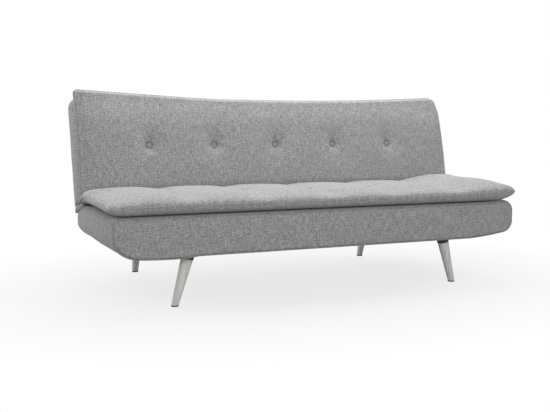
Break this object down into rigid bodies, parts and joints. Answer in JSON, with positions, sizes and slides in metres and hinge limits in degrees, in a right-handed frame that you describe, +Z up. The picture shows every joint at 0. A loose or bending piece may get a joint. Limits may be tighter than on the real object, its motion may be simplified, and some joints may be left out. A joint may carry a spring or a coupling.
{
  "type": "sofa bed",
  "caption": "Armless click-clack sofa bed with a pillow-top seat and buttoned backrest on splayed tapered legs; the backrest folds down level with the seat as a bed.",
  "frame": {"origin": "on the floor below the centre of the sofa's box", "axes": "+X along the width, to the right of someone who faces the sofa; +Y to the rear; +Z up"},
  "size_m": [1.8222, 0.8611, 0.815],
  "materials": {
    "cover_fabric": "heathered grey plain weave",
    "pad_fabric": "heathered grey plain weave over wadding",
    "frame_timber": "sawn softwood, unfinished",
    "webbing": "woven elastic",
    "leg_wood": "grey-washed hardwood, satin lacquer",
    "black_steel": "satin black powder coat",
    "zinc_steel": "zinc plated",
    "black_plastic": "fine texture",
    "bumper_rubber": "matt",
    "dust_cloth": "spun-bonded cloth"
  },
  "bodies": {
    "seat": {"bracket_screws": "zinc_steel", "dust_cover": "dust_cloth", "fold_flap": "cover_fabric", "foot_glides": "black_plastic", "front_left_leg": "leg_wood", "front_left_leg_bracket": "black_steel", "front_right_leg": "leg_wood", "front_right_leg_bracket": "black_steel", "hinge_plate_bolts": "zinc_steel", "left_hinge_plate": "zinc_steel", "left_outrigger": "black_steel", "leg_bolts": "zinc_steel", "outrigger_bolts": "zinc_steel", "outrigger_caps": "black_plastic", "pawl_pins": "zinc_steel", "pivot_pins": "zinc_steel", "rear_left_leg": "leg_wood", "rear_left_leg_bracket": "black_steel", "rear_right_leg": "leg_wood", "rear_right_leg_bracket": "black_steel", "rest_bumpers": "bumper_rubber", "right_hinge_plate": "zinc_steel", "right_outrigger": "black_steel", "seat_buttons": "pad_fabric", "seat_deck_foam": "cover_fabric", "seat_front_foam": "cover_fabric", "seat_front_rail": "frame_timber", "seat_left_end_foam": "cover_fabric", "seat_left_joist": "frame_timber", "seat_left_rail": "frame_timber", "seat_middle_joist": "frame_timber", "seat_pad": "pad_fabric", "seat_rear_foam": "cover_fabric", "seat_rear_rail": "frame_timber", "seat_right_end_foam": "cover_fabric", "seat_right_joist": "frame_timber", "seat_right_rail": "frame_timber", "seat_webbing": "webbing"},
    "backrest": {"back_front_foam": "cover_fabric", "back_rear_foam": "cover_fabric", "back_left_end_foam": "cover_fabric", "back_right_end_foam": "cover_fabric", "back_top_foam": "cover_fabric", "back_top_rail": "frame_timber", "back_bottom_rail": "frame_timber", "back_left_rail": "frame_timber", "back_right_rail": "frame_timber", "back_left_post": "frame_timber", "back_right_post": "frame_timber", "back_webbing": "webbing", "back_pad": "pad_fabric", "back_buttons": "pad_fabric", "left_hinge_arm": "zinc_steel", "right_hinge_arm": "zinc_steel", "hinge_arm_bolts": "zinc_steel"},
    "left_pawl_lever": {"left_pawl": "zinc_steel"},
    "right_pawl_lever": {"right_pawl": "zinc_steel"}
  },
  "joints": [
    {"name": "back_fold", "type": "hinge", "parent": "seat", "child": "backrest", "pos_m": [0, 0.216, 0.284], "axis": [-1, 0, 0], "range_deg": [0, 75.5]},
    {"name": "left_pawl_swing", "type": "hinge", "parent": "seat", "child": "left_pawl_lever", "pos_m": [-0.7475, 0.19279, 0.244], "axis": [1, 0, 0], "range_deg": [0, 6.5]},
    {"name": "right_pawl_swing", "type": "hinge", "parent": "seat", "child": "right_pawl_lever", "pos_m": [0.7475, 0.19279, 0.244], "axis": [1, 0, 0], "range_deg": [0, 6.5]}
  ],
  "couplings": [
    {"joint": "left_pawl_swing", "follows": "back_fold", "ratio": 0.0823},
    {"joint": "right_pawl_swing", "follows": "back_fold", "ratio": 0.0823}
  ]
}
